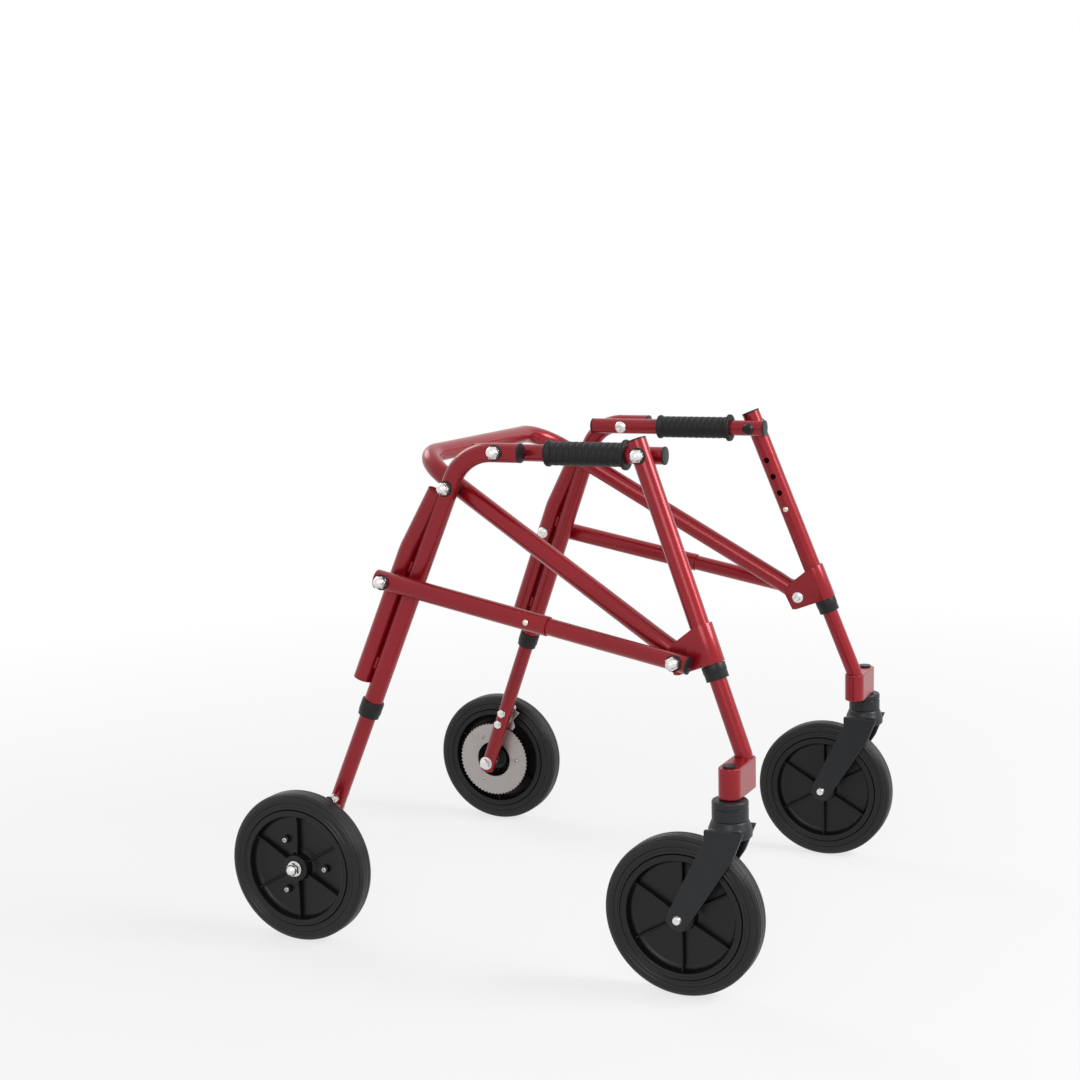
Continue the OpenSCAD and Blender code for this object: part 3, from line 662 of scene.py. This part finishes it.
def fanned(mesh, count, first, finish):
    """The mesh repeated round the x axis by Geometry Nodes, as one plain mesh."""
    tree = bpy.data.node_groups.new("fan_round_axle", "GeometryNodeTree")
    face = tree.interface
    face.new_socket("Geometry", in_out="INPUT", socket_type="NodeSocketGeometry")
    wanted = {"Count": ("NodeSocketInt", count), "First angle": ("NodeSocketFloat", first),
              "Finish": ("NodeSocketMaterial", finish)}
    sockets = {
        label: face.new_socket(label, in_out="INPUT", socket_type=kind)
        for label, (kind, _) in wanted.items()
    }
    face.new_socket("Geometry", in_out="OUTPUT", socket_type="NodeSocketGeometry")
    nodes, links = tree.nodes, tree.links
    start, end = nodes.new("NodeGroupInput"), nodes.new("NodeGroupOutput")
    spots = nodes.new("GeometryNodePoints")
    index = nodes.new("GeometryNodeInputIndex")
    share = nodes.new("ShaderNodeMath")
    share.operation = "DIVIDE"
    turn = nodes.new("ShaderNodeMath")
    turn.operation = "MULTIPLY_ADD"
    turn.inputs[1].default_value = 2 * pi
    spin = nodes.new("ShaderNodeCombineXYZ")
    spread = nodes.new("GeometryNodeInstanceOnPoints")
    solid = nodes.new("GeometryNodeRealizeInstances")
    coat = nodes.new("GeometryNodeSetMaterial")
    links.new(start.outputs["Count"], spots.inputs["Count"])
    links.new(index.outputs[0], share.inputs[0])
    links.new(start.outputs["Count"], share.inputs[1])
    links.new(share.outputs[0], turn.inputs[0])
    links.new(start.outputs["First angle"], turn.inputs[2])
    links.new(turn.outputs[0], spin.inputs["X"])
    links.new(spots.outputs[0], spread.inputs["Points"])
    links.new(start.outputs["Geometry"], spread.inputs["Instance"])
    links.new(spin.outputs[0], spread.inputs["Rotation"])
    links.new(spread.outputs[0], solid.inputs[0])
    links.new(solid.outputs[0], coat.inputs["Geometry"])
    links.new(start.outputs["Finish"], coat.inputs["Material"])
    links.new(coat.outputs[0], end.inputs[0])
    bench = bpy.data.objects.new("bench", mesh)
    bpy.context.scene.collection.objects.link(bench)
    change = bench.modifiers.new("fan", "NODES")
    change.node_group = tree
    for label, (_, value) in wanted.items():
        change[sockets[label].identifier] = value
    bench.update_tag()
    bpy.context.view_layer.update()
    ready = bench.evaluated_get(bpy.context.evaluated_depsgraph_get())
    result = bpy.data.meshes.new_from_object(ready)
    bpy.data.objects.remove(bench)
    return result


def rim_outline():
    face = [
        (RIM_HALF - 0.0003, HUB_BORE), (RIM_HALF, HUB_BORE + 0.0005),
        (RIM_HALF, HUB_R - 0.0014), (RIM_HALF - 0.0004, HUB_R - 0.0005),
        (RIM_HALF - 0.0013, HUB_R), (WEB + 0.0030, HUB_R + 0.0006),
        (WEB + 0.0010, HUB_R + 0.0014), (WEB + 0.0001, HUB_R + 0.0034),
        (WEB, HUB_R + 0.008), (WEB, 0.050), (WEB + 0.0003, BARREL_R - 0.0070),
        (WEB + 0.0014, BARREL_R - 0.0036), (WEB + 0.0040, BARREL_R - 0.0014),
        (WEB + 0.0070, BARREL_R - 0.0005), (RIM_HALF - 0.0022, BARREL_R + 0.0003),
        (RIM_HALF - 0.0008, BARREL_R + 0.0009), (RIM_HALF - 0.0001, BARREL_R + 0.0022),
        (RIM_HALF, BARREL_R + 0.0036), (RIM_HALF - 0.0005, BARREL_R + 0.0046),
        (RIM_HALF - 0.0005, RIM_SEAT - 0.0022), (RIM_HALF, RIM_SEAT - 0.0014),
        (RIM_HALF - 0.0002, RIM_SEAT - 0.0005), (RIM_HALF - 0.0011, RIM_SEAT),
    ]
    return face + [(-x, r) for x, r in reversed(face)]


def rim_rib():
    """One rib of both faces: thick at the web, thin at its free edge, low at the barrel."""
    rib = bmesh.new()
    stations = []
    reach = ((HUB_R - 0.002, 0.0118), (0.026, 0.0104), (0.045, 0.0094),
             (0.062, 0.0090), (BARREL_R - 0.004, 0.0096), (BARREL_R + 0.001, 0.0112))
    section = ((1.00, 0.15), (0.86, 0.36), (0.0, 0.5), (-0.86, 0.36), (-1.00, 0.15))
    for radius, height in reach:
        row = [rib.verts.new((height * h, RIB_T * t, radius)) for h, t in section]
        row += [rib.verts.new((height * h, -RIB_T * t, radius)) for h, t in reversed(section)]
        stations.append(row)
    for row, after in zip(stations, stations[1:]):
        for k in range(len(row)):
            m = (k + 1) % len(row)
            rib.faces.new((row[k], row[m], after[m], after[k]))
    rib.faces.new(stations[0])
    rib.faces.new(list(reversed(stations[-1])))
    bmesh.ops.recalc_face_normals(rib, faces=rib.faces)
    mesh = bpy.data.meshes.new("rib")
    rib.to_mesh(mesh)
    rib.free()
    return mesh


def screw_boss():
    outline = [(0.0078, 0), (0.0078, 0.0042), (0.0072, 0.0050), (0.0030, 0.0054),
               (0.0, 0.0060), (-0.0030, 0.0055), (-0.0100, 0.0051),
               (-RING_FACE + 0.0008, 0.0048), (-RING_FACE + 0.0002, 0.0042),
               (-RING_FACE + 0.0002, 0)]
    mesh = turned(outline, 32)
    mesh.transform(Matrix.Translation((0, 0, SCREW_CIRCLE)))
    return mesh


RIM_NYLON = moulded_nylon("rim_nylon", (0.003, 0.003, 0.0035, 1), (0.010, 0.0105, 0.012, 1), 0.38)
SCREW_FIRST = radians(90)
for side in SIDES:
    inboard = 1 if side == "left" else -1
    for node, body in (("rear_rim", "rear_wheel"), ("caster_rim", "caster_wheel")):
        low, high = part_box(f"{side}_{node}")
        axle = (low + high) / 2
        ribs = fanned(rim_rib(), RIBS, 0.0, RIM_NYLON)
        parts = [turned(rim_outline(), 144), ribs]
        if node == "rear_rim":
            tyre_low, tyre_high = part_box(f"{side}_rear_tyre")
            axle.x = (tyre_low.x + tyre_high.x) / 2
            boss = screw_boss()
            if inboard < 0:
                boss.transform(Matrix.Rotation(pi, 4, "Z"))
            parts.append(fanned(boss, 3, SCREW_FIRST, RIM_NYLON))
        rim = smooth(gathered(*parts), 34)
        rim.transform(Matrix.Translation(axle))
        settle(rim, f"{side}_{node}_ribbed", RIM_NYLON, f"{side}_{body}", "black_plastic",
               f"{side}_{node}")


# ---------- Ratchet ring, its screws and the pawl ----------
# A toothed disc cut from steel plate and held to the rim by three screws; the
# pawl drops into its teeth and stops the wheel from rolling back.
RING_PALE = (0.50, 0.47, 0.45, 1)
RING_DARK = (0.34, 0.31, 0.30, 1)


def brushed_plate(name, centre):
    """Steel plate brushed in circles about the axle, so the marks follow the disc."""
    plate = Finish(name)
    moved = plate.node("ShaderNodeMapping", {}, {"Vector": plate.place,
                                                 "Location": (0, -centre.y, -centre.z)})
    along = plate.node("ShaderNodeSeparateXYZ", {}, {0: moved}, out="Y")
    rise = plate.node("ShaderNodeSeparateXYZ", {}, {0: moved}, out="Z")
    radius = (along * along + rise * rise) ** 0.5
    lines = plate.node("ShaderNodeTexNoise", {"noise_dimensions": "1D"},
                       {"W": radius, "Scale": 5200.0, "Detail": 3.0})
    cloud = plate.speckle(60, 4, 0.6)
    mark = plate.band(plate.speckle(300, 4, 0.7), 0.60, 0.75)
    colour = plate.blend(RING_PALE, RING_DARK, lines * 0.5 + cloud * 0.35 + mark * 0.2)
    return plate.surface(
        Base_Color=colour,
        Metallic=0.82,
        Roughness=0.42 + (lines - 0.5) * 0.2 + mark * 0.15,
        Normal=plate.relief(lines, 0.10, 0.00015),
    )


def pan_head():
    """A pan-head screw seen from its head, with a cross recess."""
    head = bmesh.new()
    spokes, shells = 40, 12
    crown, high = 0.0038, 0.0021
    centre = head.verts.new((0.0006, 0, 0))
    rows = []
    for j in range(1, shells + 1):
        share = j / shells
        radius = crown * share
        dome = high * (1 - share ** 4) ** 0.5 if share < 1 else 0.0
        row = []
        for k in range(spokes):
            a = 2 * pi * k / spokes
            y, z = radius * cos(a), radius * sin(a)
            slot = min(abs(y), abs(z))
            deep = max(0.0, 1 - slot / 0.00055) * max(0.0, 1 - (radius / 0.0026) ** 3)
            row.append(head.verts.new((max(0.0, dome - 0.0014 * min(1, deep * 1.8)), y, z)))
        rows.append(row)
    for k in range(spokes):
        m = (k + 1) % spokes
        head.faces.new((centre, rows[0][k], rows[0][m]))
        for row, after in zip(rows, rows[1:]):
            head.faces.new((row[k], after[k], after[m], row[m]))
    head.faces.new(list(reversed(rows[-1])))
    bmesh.ops.recalc_face_normals(head, faces=head.faces)
    mesh = bpy.data.meshes.new("pan_head")
    head.to_mesh(mesh)
    head.free()
    return mesh


SCREW_STEEL = zinc_plate("screw_steel", (0.52, 0.51, 0.49, 1), (0.30, 0.29, 0.28, 1), 0.36)
for side in SIDES:
    inboard = 1 if side == "left" else -1
    low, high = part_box(f"{side}_ratchet_ring")
    axle = (low + high) / 2
    BRUSHED = brushed_plate(f"{side}_brushed_plate", axle)
    settle(eased(f"{side}_ratchet_ring", 0.00025), f"{side}_toothed_ring", BRUSHED,
           f"{side}_rear_wheel", "steel", f"{side}_ratchet_ring")
    settle(eased(f"{side}_pawl_lever", 0.0003), f"{side}_ratchet_pawl", SCREW_STEEL,
           f"{side}_pawl", "steel", f"{side}_pawl_lever")
    low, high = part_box(f"{side}_ring_screws")
    inner, outer = (low.x, high.x) if side == "left" else (high.x, low.x)
    near_head, far_head = pan_head(), pan_head()
    near_head.transform(Matrix.Rotation(pi, 4, "Z"))
    near_head.transform(Matrix.Translation((inner * inboard + 0.0021, 0, SCREW_CIRCLE)))
    far_head.transform(Matrix.Translation((outer * inboard - 0.0021, 0, SCREW_CIRCLE)))
    stem = shank(inner * inboard + 0.0015, outer * inboard - 0.0015, 0.0019)
    stem.transform(Matrix.Translation((0, 0, SCREW_CIRCLE)))
    screw = gathered(near_head, far_head, stem)
    if inboard < 0:
        screw.transform(Matrix.Rotation(pi, 4, "Z"))
    screws = smooth(fanned(screw, 3, SCREW_FIRST, SCREW_STEEL), 40)
    screws.transform(Matrix.Translation((0, axle.y, axle.z)))
    settle(screws, f"{side}_ring_screws_set", SCREW_STEEL, f"{side}_rear_wheel", "steel",
           f"{side}_ring_screws")


# ---------- Caster forks and bearing caps ----------
# The fork is one thick glass-filled nylon moulding that trails behind the
# stem; its crown flares up to a bearing cap with two dust grooves.
FORK_DARK = (0.010, 0.011, 0.0125, 1)
FORK_PALE = (0.026, 0.028, 0.032, 1)
FORK_NYLON = moulded_nylon("fork_nylon_grained", FORK_DARK, FORK_PALE, 0.40, 1300)
for side in SIDES:
    settle(moulded(f"{side}_caster_fork", 0.0013, 10), f"{side}_caster_fork_moulded", FORK_NYLON,
           f"{side}_fork", "fork_nylon", f"{side}_caster_fork")
    dress(f"{side}_caster_stem", FORK_NYLON)


# ---------- Floor, lamps and surroundings ----------
# A pale studio floor under soft lamps: the key stands in front and to the
# right, with weaker ones behind and to the left.
FLOOR_WHITE = (0.86, 0.86, 0.86, 1)
floor_mesh = bpy.data.meshes.new("studio_floor")
floor_mesh.from_pydata([(-9, -9, 0), (9, -9, 0), (9, 9, 0), (-9, 9, 0)], [], [(0, 1, 2, 3)])
floor = bpy.data.objects.new("studio_floor", floor_mesh)
bpy.context.scene.collection.objects.link(floor)


def seen_white(finish):
    """1 for rays that show the background: the camera's, and those off gloss or through glass."""
    seen = finish.node("ShaderNodeLightPath", out="Is Camera Ray")
    gloss = finish.node("ShaderNodeLightPath", out="Is Glossy Ray")
    clear = finish.node("ShaderNodeLightPath", out="Is Transmission Ray")
    return finish.node("ShaderNodeMath", {"operation": "ADD", "use_clamp": True},
                       {0: seen, 1: gloss + clear})


ground = Finish("studio_floor")
fibre = ground.speckle(3, 2)
away = ground.node("ShaderNodeVectorMath", {"operation": "LENGTH"}, {0: ground.place}, out="Value")
matte = ground.node("ShaderNodeBsdfDiffuse", {},
                    {"Color": ground.blend(FLOOR_WHITE, (0.83, 0.83, 0.83, 1), fibre * 0.3)})
white = ground.node("ShaderNodeEmission", {}, {"Strength": 1.0})
both = ground.node("ShaderNodeMixShader", {}, {0: seen_white(ground) * (0.74 + ground.band(away / 2.4, 0.25, 1.0) * 0.26),
                    1: matte, 2: white})
end = ground.tree.nodes.new("ShaderNodeOutputMaterial")
ground.tree.links.new(both.socket, end.inputs["Surface"])
floor_mesh.materials.append(ground.material)

studio = bpy.data.worlds.new("studio")
studio.use_nodes = True
bpy.context.scene.world = studio


class Surroundings(Finish):
    """The world, mixed in the same way as a finish."""

    def __init__(self, world):
        self.material, self.tree = world, world.node_tree
        self.tree.nodes.clear()


around = Surroundings(studio)
AMBIENT = 0.30
sky = around.node("ShaderNodeBackground", {}, {
    "Color": (1, 1, 1, 1),
    "Strength": AMBIENT + seen_white(around) * (1 - AMBIENT),
})
end = around.tree.nodes.new("ShaderNodeOutputWorld")
around.tree.links.new(sky.socket, end.inputs["Surface"])

LAMPS = (
    ("key_lamp", (0.35, -2.9, 2.3), 1.5, 80),
    ("front_lamp", (-3.0, -0.9, 1.7), 1.6, 22),
    ("back_lamp", (1.2, 2.7, 2.6), 1.8, 26),
)
for name, place, size, power in LAMPS:
    lamp = bpy.data.lights.new(name, "AREA")
    lamp.shape, lamp.size, lamp.energy = "DISK", size, power
    stand = bpy.data.objects.new(name, lamp)
    bpy.context.scene.collection.objects.link(stand)
    stand.location = place
    stand.rotation_mode = "QUATERNION"
    stand.rotation_quaternion = (Vector((0, 0, 0.35)) - Vector(place)).to_track_quat("-Z", "Y")

bpy.context.scene.view_settings.view_transform = "Standard"
